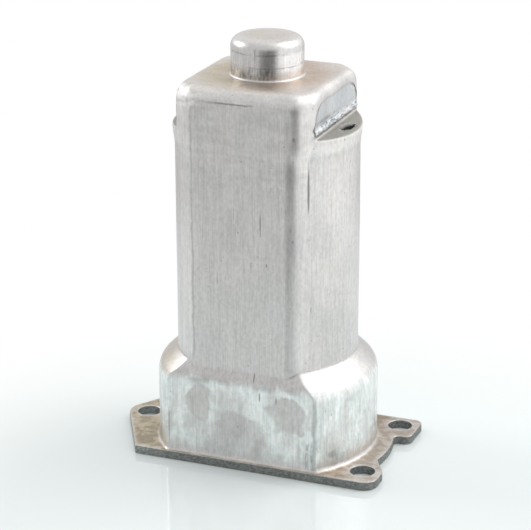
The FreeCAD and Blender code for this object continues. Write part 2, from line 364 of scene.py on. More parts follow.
def flat_relief(points):
    """How far each flat is pressed in: the groove around it, its dent, and a soft hollow below that."""
    x, y, z = points.T
    across = np.maximum(np.abs(x) - (GROOVE_X - GROOVE_CORNER), 0)
    above = np.maximum(z - (GROOVE_TOP - GROOVE_CORNER), 0)
    beyond = np.hypot(across, above) - GROOVE_CORNER
    groove = bell(beyond, GROOVE_WIDTH) * smooth(BODY_START - 1, BODY_START + 4, z)
    groove *= (1.0 + 0.6 * rough(points, (0.2, 0.2, 0.2))) * (1.0 - 0.75 * smooth(2.0, 9.0, x))
    dent = bell(z - GROOVE_TOP, DENT_WIDTH) * smooth(-7, -4, x) * smooth(4.5, 1.5, x) * (y < 0)
    hollow = bell(z - 80.5, 2.6) * bell(x + 2.0, 7.0)
    return smooth(14.5, 16.0, np.abs(y)) * (GROOVE_DEPTH * groove + DENT_DEPTH * dent + 0.07 * hollow)


def facet_relief(points):
    """Uneven roll of metal along the foot of each facet, and its pressed-in panel."""
    x, y, z = points.T
    uneven = 1.0 + 1.2 * rough(points, (0.05, 0.75, 0.5))
    at_foot = smooth(17.6, 16.6, np.abs(x)) * smooth(14.0, 12.0, np.abs(y)) * smooth(14.0, 15.5, np.abs(x))
    roll = bell(z - ROLL_Z, ROLL_WIDTH) - 0.5 * bell(z - ROLL_Z - 2 * ROLL_WIDTH, ROLL_WIDTH)
    panel = smooth(-0.2, 0.4, arch_depth(y, z)) * smooth(15.2, 15.8, np.abs(x)) * smooth(77.9, 78.6, z)
    return ROLL_HEIGHT * roll * uneven * at_foot - PANEL_DEPTH * panel


def ring_relief(points):
    """Faint steps around the base's round sides, lower towards the flats, and around the boss."""
    x, y, z = points.T
    radius = np.hypot(x, y)
    angle = np.degrees(np.arctan2(y, np.abs(x)))
    base = bell(z - (BASE_RING - 0.004 * (angle + 24.0) ** 2), 0.35) * (radius > 23.5)
    boss = bell(z - BOSS_RING, 0.22) * (radius < BOSS_R + 0.3)
    return 0.04 * base + 0.05 * boss


def relief(points):
    """How far the metal stands out from its plain form at each point."""
    waves = 0.05 * rough(points, (0.09, 0.09, 0.045)) + 0.022 * rough(points + 40.0, (0.3, 0.3, 0.1))
    found = waves - flat_relief(points) + facet_relief(points)
    return found * smooth(SHEET + ROOT_R, 7.0, points[:, 2]) - ring_relief(points)


def with_relief(skin):
    """Grid of points, each moved along the skin's normal by its relief."""
    along = np.roll(skin, -1, axis=1) - np.roll(skin, 1, axis=1)
    up = np.gradient(skin, axis=0)
    normal = np.cross(along, up)
    normal /= np.maximum(np.linalg.norm(normal, axis=-1, keepdims=True), 1e-9)
    return skin + normal * relief(skin.reshape(-1, 3)).reshape(skin.shape[:2] + (1,))


def outer_skin():
    """Grid of the outside, which columns are trimmed by the flange, and the rows of the ledge."""
    rows, trimmed = root_rows(OUTER, 7)
    for z in heights((SHEET + ROOT_R, 0.75), (17.8, 0.3), (BODY_START, 0.75), (71.5, 0.42), (75.4, 0)):
        rows.append(polar_row(z, wall_outline, OUTER))
    ledge_start = len(rows) - 1
    rows += list(ledge_rows(75.4, 79.2, 27, 0.0, OUTER))[1:]
    ledge_end = len(rows) - 1
    for z in heights((79.2, 0.5), (HEAD_TOP - HEAD_TOP_R, 0)):
        rows.append(polar_row(z, lambda angle, height: head_outline(angle, height, 0.0), OUTER))
    rows += top_rows(0.0, OUTER, 13, 9, 9)
    return with_relief(np.array(rows)), trimmed, (ledge_start, ledge_end)


def inner_skin():
    """Grid of the hollow, and the rows of its ledge."""
    rows = []
    angle = column_angles(0.0, INNER)
    for step in range(6):
        turn = math.pi / 2 * step / 5
        drop = MOUTH_R * (1 - math.sin(turn))
        crease = BASE_CREASE - SHEET / 2 + drop
        radius = double_d(angle, BASE_R - SHEET + drop, BASE_FLAT - SHEET + drop, crease)
        rows.append(row_at(angle, radius, MOUTH_R * (1 - math.cos(turn))))
    for z in heights((MOUTH_R, 1.6), (17.0, 0.6), (BODY_START, 1.9), (71.0, 1.0), (73.0, 0)):
        rows.append(polar_row(z, lambda a, height: wall_outline(a, height, SHEET), INNER))
    ledge_start = len(rows) - 1
    rows += list(ledge_rows(73.0, 78.5, 16, SHEET, INNER))[1:]
    ledge_end = len(rows) - 1
    for z in heights((78.5, 1.2), (HEAD_TOP - HEAD_TOP_R, 0)):
        rows.append(polar_row(z, lambda a, height: head_outline(a, height, SHEET), INNER))
    rows += top_rows(SHEET, INNER, 4, 5, 4)
    return np.array(rows), (ledge_start, ledge_end)


# Outline of the flange

def rounded_path(corners):
    """Open path through corners (x, y, radius), each rounded by its radius."""
    points = [np.array(corners[0][:2])]
    for before, corner, after in zip(corners, corners[1:], corners[2:]):
        here, radius = np.array(corner[:2]), corner[2]
        if radius == 0:
            points.append(here)
            continue
        back = np.array(before[:2]) - here
        ahead = np.array(after[:2]) - here
        back, ahead = back / np.linalg.norm(back), ahead / np.linalg.norm(ahead)
        half = math.acos(np.clip(back @ ahead, -1, 1)) / 2
        centre = here + (back + ahead) / np.linalg.norm(back + ahead) * radius / math.sin(half)
        first, last = here + back * radius / math.tan(half), here + ahead * radius / math.tan(half)
        a = math.atan2(*(first - centre)[::-1])
        b = math.atan2(*(last - centre)[::-1])
        turn = (b - a + math.pi) % (2 * math.pi) - math.pi
        count = max(3, int(abs(turn) * radius / 0.3) + 1)
        for step in range(count + 1):
            angle = a + turn * step / count
            points.append(centre + radius * np.array([math.cos(angle), math.sin(angle)]))
    points.append(np.array(corners[-1][:2]))
    return points


def divided(points, longest):
    """The path with long stretches divided."""
    found = [points[0]]
    for start, end in zip(points, points[1:]):
        count = max(1, math.ceil(np.linalg.norm(end - start) / longest))
        found += [start + (end - start) * step / count for step in range(1, count + 1)]
    return found


def right_outline(start_x):
    """Outline of the flange's right end, from the front flat round to the back flat."""
    corner = np.array([EAR_X, FRONT_EAR_SIDE_Y])
    along = np.array([math.cos(FRONT_EAR_TURN), math.sin(FRONT_EAR_TURN)])
    b = corner @ along
    front = corner + along * (-b - math.sqrt(b * b - corner @ corner + FLANGE_R ** 2))
    back_angle = math.asin(BACK_EAR_SIDE_Y / FLANGE_R)
    front_angle = math.atan2(front[1], front[0])
    turns = np.linspace(front_angle + 0.05, back_angle - 0.08, 24)
    corners = [
        (start_x, -FLANGE_Y, 0),
        (EAR_X, -FLANGE_Y, EAR_CORNER_R),
        (EAR_X, FRONT_EAR_SIDE_Y, EAR_SIDE_R),
        (front[0], front[1], EAR_ROOT_R),
    ]
    corners += [(FLANGE_R * math.cos(turn), FLANGE_R * math.sin(turn), 0) for turn in turns]
    corners += [
        (FLANGE_R * math.cos(back_angle), BACK_EAR_SIDE_Y, EAR_ROOT_R),
        (EAR_X, BACK_EAR_SIDE_Y, BACK_EAR_R),
        (EAR_X, FLANGE_Y, BACK_EAR_R),
        (start_x, FLANGE_Y, 0),
    ]
    return divided(rounded_path(corners), RIM_STEP)


def left_outline(start_x):
    """Outline of the flange's left end, from the back flat round to the front flat."""
    centre = np.array(HOLES[0])
    touches = []
    for sign in (1, -1):
        corner = np.array([LEFT_EAR_CORNER_X, sign * FLANGE_Y])
        away = centre - corner
        distance = np.linalg.norm(away)
        turn = math.atan2(away[1], away[0]) - sign * math.asin(LEFT_EAR_R / distance)
        run = math.sqrt(distance ** 2 - LEFT_EAR_R ** 2)
        touches.append(corner + run * np.array([math.cos(turn), math.sin(turn)]))
    a, b = (math.atan2(*(touch - centre)[::-1]) for touch in touches)
    if b < a:
        b += 2 * math.pi
    arc = [centre + LEFT_EAR_R * np.array([math.cos(t), math.sin(t)]) for t in np.linspace(a, b, 30)]
    points = [np.array([start_x, FLANGE_Y]), np.array([LEFT_EAR_CORNER_X, FLANGE_Y])] + arc
    points += [np.array([LEFT_EAR_CORNER_X, -FLANGE_Y]), np.array([start_x, -FLANGE_Y])]
    return divided(points, RIM_STEP)


def moved_in(loop, distance):
    """Closed loop moved towards its inside."""
    before, after = np.roll(loop, 1, axis=0), np.roll(loop, -1, axis=0)
    first, second = loop - before, after - loop
    first /= np.linalg.norm(first, axis=1)[:, None]
    second /= np.linalg.norm(second, axis=1)[:, None]
    normal = np.stack([-(first + second)[:, 1], (first + second)[:, 0]], axis=-1)
    length = np.linalg.norm(normal, axis=1)[:, None]
    return loop + normal / length * np.reshape(distance, (-1, 1)) / np.maximum(length / 2, 0.3)


def sheared_rings(loop, outward):
    """Rings down a sheared edge: smooth above, and rough below, where the sheet broke."""
    rings = []
    for z, share in SHEARED_RINGS:
        place = np.column_stack([loop, np.full(len(loop), z)])
        ragged = 0.05 * rough(place, (1.1, 1.1, 1.4)) + 0.03 * rough(place + 9.0, (2.6, 2.6, 2.0))
        rings.append((moved_in(loop, outward * share * (ragged + 0.03)), z))
    return rings


def inside(point, loop):
    """Is a plan point inside a closed loop?"""
    x, y = loop[:, 0], loop[:, 1]
    x2, y2 = np.roll(x, -1), np.roll(y, -1)
    crosses = (y > point[1]) != (y2 > point[1])
    with np.errstate(divide="ignore", invalid="ignore"):
        at = x + (point[1] - y) / (y2 - y) * (x2 - x)
    return bool(np.count_nonzero(crosses & (point[0] < at)) % 2)


class Builder:
    """Collects the vertices and faces of one piece. Each vertex has the name of its zone."""

    def __init__(self):
        self.points = []
        self.zones = []
        self.faces = []

    def add(self, points, zone):
        """New vertices, as an array of their numbers."""
        start = len(self.points)
        self.points += [tuple(point) for point in points]
        self.zones += [zone] * len(points)
        return np.arange(start, start + len(points))

    def band(self, low, high):
        """Quads between two closed rows with as many points."""
        for j in range(len(low)):
            k = (j + 1) % len(low)
            self.faces.append((low[j], low[k], high[k], high[j]))

    def grid(self, ids, gaps, out):
        """Quads of a grid of closed rows, apart from its gaps, with a fan over its last row."""
        faces = []
        for i in range(len(ids) - 1):
            for j in range(ids.shape[1]):
                k = (j + 1) % ids.shape[1]
                if not gaps[i, j]:
                    faces.append((ids[i, j], ids[i, k], ids[i + 1, k], ids[i + 1, j]))
        last = ids[-1, 0]
        tip = self.add([(0, 0, self.points[last][2])], self.zones[last])[0]
        for j in range(ids.shape[1]):
            faces.append((ids[-1, j], ids[-1, (j + 1) % ids.shape[1]], tip))
        self.faces += faces if out else [face[::-1] for face in faces]

    def flat(self, outer, holes, spacing, up, zone):
        """Triangles of a flat face between an outer loop and its holes."""
        loops = [outer] + holes
        order = [int(i) for loop in loops for i in loop]
        plan = [Vector(self.points[i][:2]) for i in order]
        edges, start = [], 0
        for loop in loops:
            edges += [(start + j, start + (j + 1) % len(loop)) for j in range(len(loop))]
            start += len(loop)
        outlines = [np.array([self.points[i][:2] for i in loop]) for loop in loops]

        def in_metal(point):
            return inside(point, outlines[0]) and not any(inside(point, hole) for hole in outlines[1:])

        rim = np.concatenate(outlines)
        z = self.points[outer[0]][2]
        low, high = rim.min(axis=0), rim.max(axis=0)
        for ix, x in enumerate(np.arange(low[0] + spacing / 2, high[0], spacing)):
            for y in np.arange(low[1] + spacing / 2 * (1 + ix % 2), high[1], spacing):
                point = np.array([x, y])
                if in_metal(point) and np.min(np.linalg.norm(rim - point, axis=1)) > 0.55 * spacing:
                    order.append(int(self.add([(x, y, z)], zone)[0]))
                    plan.append(Vector((x, y)))
        _, _, triangles, origins, _, _ = delaunay_2d_cdt(plan, edges, [], 0, 1e-7)
        for triangle in triangles:
            ids = [order[origins[corner][0]] for corner in triangle]
            a, b, c = (np.array(self.points[i][:2]) for i in ids)
            turn = (b - a)[0] * (c - a)[1] - (b - a)[1] * (c - a)[0]
            if abs(turn) > NO_AREA and in_metal((a + b + c) / 3):
                self.faces.append(tuple(ids if (turn > 0) == up else ids[::-1]))

    def wall_between(self, first, second, centre):
        """Triangles between two loops around a hole, each given as (turn, vertex) pairs."""
        first, second = sorted(first), sorted(second)
        faces, i, j = [], 0, 0
        while i < len(first) or j < len(second):
            a, b = first[i % len(first)][1], second[j % len(second)][1]
            next_first = first[(i + 1) % len(first)][0] + 2 * math.pi * (i + 1 >= len(first))
            next_second = second[(j + 1) % len(second)][0] + 2 * math.pi * (j + 1 >= len(second))
            if j >= len(second) or (i < len(first) and next_first <= next_second):
                faces.append((a, first[(i + 1) % len(first)][1], b))
                i += 1
            else:
                faces.append((a, second[(j + 1) % len(second)][1], b))
                j += 1
        corners = np.array([self.points[i] for i in faces[0]])
        facing = np.cross(corners[1] - corners[0], corners[2] - corners[0]) @ (centre - corners.mean(axis=0))
        self.faces += faces if facing > 0 else [face[::-1] for face in faces]

    def mesh(self, name):
        """Blender mesh of the faces, without vertices that no face uses."""
        used = sorted({int(i) for face in self.faces for i in face})
        number = {old: new for new, old in enumerate(used)}
        points = [tuple(value * MM for value in self.points[i]) for i in used]
        faces = [tuple(number[int(i)] for i in face) for face in self.faces]
        mesh = bpy.data.meshes.new(name)
        mesh.from_pydata(points, [], faces)
        for zone in sorted(set(self.zones)):
            share = mesh.attributes.new(zone, "FLOAT", "POINT")
            share.data.foreach_set("value", [float(self.zones[i] == zone) for i in used])
        mesh.polygons.foreach_set("use_smooth", [True] * len(faces))
        mesh.set_sharp_from_angle(angle=math.radians(38))
        mesh.update()
        return mesh


def open_tear(skin, ledge, side, inset, gaps):
    """Cuts a ragged tear out of one skin's ledge: marks its gap and bends its edge.

    Gives the turn, row and column of each point on the edge."""
    columns = skin.shape[1]
    middle = 0 if side > 0 else columns // 2
    line = skin[ledge[0]:ledge[1], middle]
    on_ledge = np.abs(np.abs(line[:, 0]) - TEAR_X) <= TEAR_WIDE + TEAR_MARGIN
    on_ledge &= np.abs(line[:, 2] - ledge_plane(np.abs(line[:, 0]), inset)) < 0.3
    rows = np.flatnonzero(on_ledge) + ledge[0]
    first, last = rows[0], rows[-1]
    half = 1
    while abs(skin[first, (middle + half) % columns, 1]) < TEAR_LONG + TEAR_MARGIN:
        half += 1
    gaps[first:last, [(middle + step) % columns for step in range(-half, half)]] = True
    edge = [(first, step) for step in range(-half, half)]
    edge += [(row, half) for row in range(first, last)]
    edge += [(last, step) for step in range(half, -half, -1)]
    edge += [(row, -half) for row in range(last, first, -1)]
    places = []
    for row, step in edge:
        column = (middle + step) % columns
        x, y, z = skin[row, column]
        turn = math.atan2(y / TEAR_LONG, (abs(x) - TEAR_X) / TEAR_WIDE)
        wander = noise.noise(Vector((1.7 * math.cos(turn), 1.7 * math.sin(turn) + side, 0.3)))
        wander += 0.25 * noise.noise(Vector((6.0 * math.cos(turn), 6.0 * math.sin(turn) + side, 0.8)))
        reach = 1.0 + 1.6 * TEAR_RAGGED * wander
        y = TEAR_LONG * reach * math.sin(turn)
        wide = TEAR_WIDE * (0.5 + 0.5 * smooth(-TEAR_LONG, 0.0, y))
        x = TEAR_X + wide * reach * math.cos(turn) + TEAR_SLANT * y
        ragged = noise.noise(Vector((0, 2.3 * y, 5.0 * side + inset)))
        lift = TEAR_LIP * (0.7 - 1.0 * (math.cos(turn) > 0)) * abs(math.cos(turn)) + TEAR_RAGGED * ragged
        skin[row, column] = (side * x, y, ledge_plane(x, inset) + lift)
        places.append((turn, row, column))
    return places


def add_skins(build):
    """Outer and inner skin, joined through their tears.

    Gives the outer skin's lowest row, both lowest rows' vertices, and which columns the flange trims."""
    outer, trimmed, outer_ledge = outer_skin()
    inner, inner_ledge = inner_skin()
    outer_gaps = np.zeros(outer.shape[:2], bool)
    inner_gaps = np.zeros(inner.shape[:2], bool)
    tears = []
    for side in (1, -1):
        on_outer = open_tear(outer, outer_ledge, side, 0.0, outer_gaps)
        on_inner = open_tear(inner, inner_ledge, side, SHEET, inner_gaps)
        tears.append((side, on_outer, on_inner))
    outer_ids = build.add(outer.reshape(-1, 3), "outside").reshape(outer.shape[:2])
    inner_ids = build.add(inner.reshape(-1, 3), "hollow").reshape(inner.shape[:2])
    build.grid(outer_ids, outer_gaps, True)
    build.grid(inner_ids, inner_gaps, False)
    for side, on_outer, on_inner in tears:
        centre = np.array([side * TEAR_X, 0, LEDGE_Z - SHEET / 2])
        first = [(turn, outer_ids[row, column]) for turn, row, column in on_outer]
        second = [(turn, inner_ids[row, column]) for turn, row, column in on_inner]
        build.wall_between(first, second, centre)
    return outer[0], outer_ids[0], inner_ids[0], trimmed


def add_hole(build, x, y):
    """Wall of one screw hole. Gives its upper and lower loop."""
    turns = np.linspace(0, 2 * math.pi, HOLE_SIDES + 1)[:-1]
    wall = np.array([(x + HOLE_R * math.cos(turn), y + HOLE_R * math.sin(turn)) for turn in turns])
    rim = np.array([x, y]) + (wall - (x, y)) * (HOLE_R + EDGE) / HOLE_R
    rows = [build.add([(a, b, SHEET) for a, b in rim], "rim")]
    for points, z in sheared_rings(wall, 1.0):
        rows.append(build.add([(a, b, z) for a, b in points], "sheared"))
    rows.append(build.add([(a, b, 0) for a, b in rim], "outside"))
    for high, low in zip(rows, rows[1:]):
        build.band(high, low)
    return list(rows[0]), list(rows[-1])


def build_can():
    """The whole can as one closed mesh."""
    build = Builder()
    ring, ring_ids, mouth_ids, trimmed = add_skins(build)

    # The flange's outline takes in the ring where the root rounding is trimmed along the flats
    columns = len(ring)
    front = [j for j in range(columns) if trimmed[j] and ring[j, 1] < 0]
    back = [j for j in range(columns) if trimmed[j] and ring[j, 1] > 0]
    right = np.array(right_outline(ring[back[0], 0]))[1:-1]
    left = np.array(left_outline(ring[back[-1], 0]))[1:-1]
    loop = np.concatenate([right, ring[back][:, :2], left, ring[front][:, :2]])
    rim = moved_in(loop, EDGE)
    left_from = len(right) + len(back)
    right_top = build.add([(x, y, SHEET) for x, y in rim[:len(right)]], "rim")
    left_top = build.add([(x, y, SHEET) for x, y in rim[left_from:left_from + len(left)]], "rim")
    rows = [np.concatenate([right_top, ring_ids[back], left_top, ring_ids[front]])]
    for points, z in sheared_rings(loop, -1.0):
        rows.append(build.add([(x, y, z) for x, y in points], "sheared"))
    rows.append(build.add([(x, y, 0) for x, y in rim], "outside"))
    for high, low in zip(rows, rows[1:]):
        build.band(low, high)

    # Flat faces of the flange between its rim, its holes and the can
    hole_tops, hole_floors = zip(*(add_hole(build, x, y) for x, y in HOLES))
    halfway = columns // 2
    on_right = [j for j in range(halfway, -halfway, -1) if not trimmed[j] and ring[j, 0] > 0]
    on_left = [j for j in range(columns - 1, 0, -1) if not trimmed[j] and ring[j, 0] < 0]
    right_loop = [ring_ids[front[-1]], *right_top, ring_ids[back[0]], *ring_ids[on_right]]
    left_loop = [ring_ids[back[-1]], *left_top, ring_ids[front[0]], *ring_ids[on_left]]
    build.flat(right_loop, list(hole_tops[1:]), TOP_SPACING, True, "outside")
    build.flat(left_loop, list(hole_tops[:1]), TOP_SPACING, True, "outside")
    build.flat(list(rows[-1]), list(hole_floors) + [list(mouth_ids)], FLOOR_SPACING, False, "outside")
    return build


# Material

class Look:
    """Nodes of a material or the world under construction. Each call adds nodes and gives their output."""

    def __init__(self, owner):
        owner.use_nodes = True
        self.nodes, self.links = owner.node_tree.nodes, owner.node_tree.links

    def put(self, socket, value):
        """Links an output to a socket, or sets the socket to a plain value."""
        if isinstance(value, bpy.types.NodeSocket):
            self.links.new(value, socket)
        else:
            socket.default_value = value

    def math(self, operation, *values):
        node = self.nodes.new("ShaderNodeMath")
        node.operation = operation
        for socket, value in zip(node.inputs, values):
            self.put(socket, value)
        return node.outputs[0]

    def fold(self, operation, values):
        """One operation over several values, from the first to the last."""
        found = values[0]
        for value in values[1:]:
            found = self.math(operation, found, value)
        return found

    def add(self, *values):
        return self.fold("ADD", values)

    def both(self, *values):
        """Product of several masks."""
        return self.fold("MULTIPLY", values)

    def most(self, *values):
        return self.fold("MAXIMUM", values)

    def less(self, first, second):
        return self.math("SUBTRACT", first, second)

    def size(self, value):
        """The value without its sign."""
        return self.math("ABSOLUTE", value)

    def hypot(self, across, up):
        """Length of the diagonal."""
        return self.math("SQRT", self.add(self.both(across, across), self.both(up, up)))

    def vector(self, operation, first, second):
        node = self.nodes.new("ShaderNodeVectorMath")
        node.operation = operation
        self.put(node.inputs[0], first)
        self.put(node.inputs["Scale"] if operation == "SCALE" else node.inputs[1], second)
        return node.outputs[0]

    def split(self, vector):
        node = self.nodes.new("ShaderNodeSeparateXYZ")
        self.links.new(vector, node.inputs[0])
        return node.outputs[0], node.outputs[1], node.outputs[2]

    def object_place(self):
        """Place on the object, in millimetres."""
        texture = self.nodes.new("ShaderNodeTexCoord")
        return self.vector("SCALE", texture.outputs["Object"], 1 / MM)

    def texture(self, place, scale, detail):
        """Noise texture over a place."""
        node = self.nodes.new("ShaderNodeTexNoise")
        self.links.new(place, node.inputs["Vector"])
        node.inputs["Scale"].default_value = scale
        node.inputs["Detail"].default_value = detail
        return node

    def wander(self, place, scale, reach):
        """A place, moved about by noise."""
        move = self.vector("SUBTRACT", self.texture(place, scale, 3.0).outputs[1], (0.5, 0.5, 0.5))
        return self.vector("ADD", place, self.vector("SCALE", move, reach))

    def past_corner(self, u, v, corner):
        """Distance beyond a corner, mirrored left and right: borders at one distance are rounded there."""
        across = self.most(self.less(self.size(u), corner[0]), 0.0)
        return self.hypot(across, self.most(self.less(v, corner[1]), 0.0))

    def ramp(self, value, low, high, start=0.0, end=1.0):
        """Smooth change from start to end while the value goes from low to high."""
        node = self.nodes.new("ShaderNodeMapRange")
        node.interpolation_type = "SMOOTHSTEP"
        for socket, number in zip(node.inputs, (value, low, high, start, end)):
            self.put(socket, number)
        return node.outputs[0]

    def band(self, value, centre, half, soft):
        """1 within half of the centre, and 0 beyond a soft border."""
        return self.ramp(self.size(self.less(value, centre)), half, half + soft, 1.0, 0.0)

    def blob(self, u, v, centre, radii):
        """Distance from an ellipse's centre: 1 on its border."""
        across = self.math("DIVIDE", self.less(u, centre[0]), radii[0])
        return self.hypot(across, self.math("DIVIDE", self.less(v, centre[1]), radii[1]))

    def patches(self, u, v, ellipses):
        """Distance from the nearest of several ellipses: 1 on its border."""
        return self.fold("MINIMUM", [self.blob(u, v, *ellipse) for ellipse in ellipses])

    def mix(self, share, first, second):
        """Colour between two colours."""
        node = self.nodes.new("ShaderNodeMix")
        node.data_type = "RGBA"
        self.put(node.inputs[0], share)
        self.put(node.inputs[6], first)
        self.put(node.inputs[7], second)
        return node.outputs[2]

    def shade(self, colour, amount):
        """Colour times an amount."""
        return self.vector("SCALE", colour, amount)

    def zone(self, name):
        """1 on the vertices of a zone."""
        node = self.nodes.new("ShaderNodeAttribute")
        node.attribute_name = name
        return node.outputs["Fac"]


# Colours of the metal's states, each as it would look under white light. The ledge's colour also holds
# painted shade, and the hollow's is a plain darker grey.
BARE = (0.67, 0.652, 0.636, 1)
BARE_COOL = (0.645, 0.635, 0.626, 1)
BLOOM = (0.80, 0.85, 0.84, 1)
BLOOM_PALE = (0.93, 0.97, 0.96, 1)
COOL = (0.60, 0.635, 0.655, 1)
FILM = (0.51, 0.44, 0.33, 1)
FILM_ROSY = (0.53, 0.42, 0.34, 1)
FILM_DARK = (0.30, 0.25, 0.175, 1)
# Dark brownish film on the ledges, with painted shade of their hollow
LEDGE_FILM_AND_SHADE = (0.33, 0.32, 0.285, 1)
BROKEN = (0.305, 0.322, 0.313)
HOLLOW_GREY = (0.36, 0.35, 0.33, 1)

# Grey, thin and pale patches of the bloom on the front flat: centre (x, z) and half sizes
GREY_PATCHES = (((-9.7, 14.9), (3.1, 3.8)), ((-1.2, 3.2), (7.2, 10.2)), ((11.4, 14.7), (4.2, 3.8)))
THIN_PATCHES = (((-1.8, 15.0), (3.6, 1.8)), ((-9.0, 9.3), (3.0, 1.8)), ((-15.9, 12.5), (1.0, 5.0)))
PALE_PATCHES = (
    ((4.4, 15.5), (1.8, 4.6)),
    ((9.5, 19.3), (3.4, 0.9)),
    ((-3.0, 18.3), (3.8, 0.8)),
    ((-14.2, 12.5), (1.3, 6.0)),
    ((10.5, 8.0), (4.2, 2.0)),
)

# Dark scratches and specks on the -Y side: x, z of the middle, half width, half length, darkness
MARKS = (
    (14.86, 66.0, 0.24, 6.6, 0.62),
    (4.86, 58.1, 0.17, 3.6, 0.5),
    (15.35, 38.9, 0.2, 1.0, 0.45),
    (6.27, 49.0, 0.24, 0.55, 0.5),
    (3.36, 22.4, 0.2, 1.5, 0.5),
    (4.84, 18.3, 0.22, 1.5, 0.6),
    (8.78, 18.0, 0.18, 1.2, 0.5),
    (-17.15, 8.2, 0.26, 5.6, 0.4),
    (12.4, 77.8, 0.5, 0.75, 0.35),
    (11.7, 57.6, 0.35, 0.8, 0.3),
    (12.1, 55.0, 0.3, 0.45, 0.35),
    (16.6, 44.5, 0.12, 4.2, 0.25),
    (20.8, 5.6, 1.0, 1.3, 0.3),
)
BROAD_MARK = 0.4


class Metal(Look):
    """Bright sheet metal, with drawing streaks, a blotched pale bloom on the base, brown film on top, and
    painted highlights and shade.

    In every ramp and band, the numbers are millimetres, or levels of noise from 0 to 1."""

    def __init__(self, material):
        super().__init__(material)
        self.where = self.object_place()
        self.x, self.y, self.z = self.split(self.where)
        self.wide_x, self.wide_y = self.size(self.x), self.size(self.y)
        self.radius = self.hypot(self.x, self.y)
        self.facing = self.split(self.nodes.new("ShaderNodeNewGeometry").outputs["Normal"])[2]
        self.cloud = self.noise((0.12, 0.12, 0.07), 4.0, 0.0)
        self.mottle = self.noise((1.5, 1.5, 0.9), 3.0, 7.0)
        self.streak = self.noise((1.5, 1.5, 0.045), 3.0, 3.0)
        self.fine = self.noise((4.5, 4.5, 0.16), 2.0, 11.0)
        uneven_x, _, self.uneven_z = self.split(self.wander(self.where, 0.5, 0.7))
        self.ragged_x = self.add(self.x, self.haze((0.5, 0.5, 0.25), 3.0, 81.0, 0.2, 0.8, -0.25, 0.25))
        groove_corner = (GROOVE_X - GROOVE_CORNER, GROOVE_TOP - GROOVE_CORNER)
        self.beyond = self.past_corner(uneven_x, self.uneven_z, groove_corner)
        _, arch_y, arch_z = self.split(self.wander(self.where, 0.35, 1.3))
        self.arch = self.past_corner(arch_y, arch_z, (ARCH_Y - ARCH_R, ARCH_TOP - ARCH_R))
        self.front = self.ramp(self.y, -13.0, -14.0)
        self.on_wall = self.ramp(self.size(self.facing), 0.75, 0.35)
        self.on_flat = self.both(self.ramp(self.wide_y, 13.5, 14.5), self.ramp(self.z, 24.0, 27.0))
        self.on_boss = self.both(self.ramp(self.z, 87.3, 88.0), self.ramp(self.radius, 8.6, 8.2))
        self.on_facet = self.both(
            self.ramp(self.wide_x, 15.0, 15.4),
            self.ramp(self.z, 77.6, 78.2),
            self.ramp(self.wide_x, 16.8, 16.4),
        )
        self.within_facet = self.ramp(self.wide_y, 13.5, 12.9)

    def noise(self, scale, detail, shift):
        """Noise over the metal, with one scale for each axis."""
        moved = self.vector("MULTIPLY", self.where, scale)
        moved = self.vector("ADD", moved, (shift, shift, shift))
        return self.texture(moved, 1.0, detail).outputs[0]

    def haze(self, scale, detail, shift, low, high, start=0.0, end=1.0):
        """Noise, ramped from start to end between two of its levels."""
        return self.ramp(self.noise(scale, detail, shift), low, high, start, end)

    def swing(self, noise, start, end):
        """Noise, spread between two values."""
        return self.ramp(noise, 0.3, 0.7, start, end)

    def drawn_tone(self):
        """Brightness of plain drawn metal: clouds, mottling, and lines along the can."""
        tone = self.add(self.swing(self.cloud, 0.94, 1.04), self.swing(self.mottle, -0.065, 0.065))
        lines = self.add(self.swing(self.streak, -0.04, 0.04), self.swing(self.fine, -0.05, 0.05))
        return self.add(tone, self.both(lines, self.on_wall))

    def flat_tone(self):
        """Burnished creases with a thin painted glint around each flat, and painted reflections of a rippled
        sheet across its upper part.
        """
        burnished = self.ramp(self.beyond, GROOVE_CORNER + 0.1, GROOVE_CORNER + 0.5)
        burnished = self.ramp(self.both(burnished, self.on_flat), 0.0, 1.0, -0.01, 0.07)
        # Painted highlight: a thin glint along each flat's border
        glint = self.both(self.band(self.beyond, GROOVE_CORNER + 0.75, 0.2, 0.4), self.on_flat)
        glint = self.both(glint, self.ramp(self.x, 4.0, 0.0), 0.06)
        # Painted reflections: brightness bands of a rippled sheet across the flat's upper part
        painted_ripple_reflections = self.swing(self.noise((0.1, 0.1, 0.55), 3.0, 121.0), -0.06, 0.06)
        return self.add(burnished, glint, self.both(painted_ripple_reflections, self.on_flat, self.ramp(self.z, 60.0, 72.0)))

    def head_tone(self):
        """Painted highlights: brighter below each ledge, on the roll at each facet's foot, and on the boss's
        +X side.
        """
        x, z, wide_x = self.x, self.z, self.wide_x
        # Painted highlight on the wall just below each ledge
        below_ledge_highlight = self.both(self.band(z, 75.0, 0.8, 1.6), self.ramp(wide_x, 13.5, 15.5), self.on_wall, 0.13)
        # Painted highlight on the roll at each facet's foot, broken up by noise
        foot = self.both(self.band(z, 78.3, 0.6, 0.6), self.band(wide_x, 16.3, 0.5, 0.4), self.within_facet)
        foot = self.both(foot, self.haze((0.5, 0.35, 0.9), 2.0, 131.0, 0.35, 0.65, -0.1, 0.16))
        # Painted highlight on the lower part of the boss's +X side
        boss_highlight = self.both(self.on_boss, self.ramp(x, 3.8, 6.2), self.ramp(z, 93.4, 92.4), 0.22)
        return self.add(below_ledge_highlight, foot, boss_highlight)

    def corner_highlight(self):
        """Painted highlight at the head's left front corner, broken up by crinkled noise."""
        crinkled = self.haze((0.6, 0.6, 0.9), 3.0, 211.0, 0.36, 0.62, -0.05, 0.26)
        corner = self.both(self.band(self.z, 84.6, 1.2, 1.8), self.ramp(self.x, -6.5, -11.5))
        return self.both(corner, self.ramp(self.y, -9.0, -13.0), crinkled)

    def right_flange_tone(self):
        """How much darker the flange is at its +X end."""
        return self.both(self.ramp(self.z, 3.4, 2.4), self.ramp(self.x, 14.0, 20.0), 0.13)

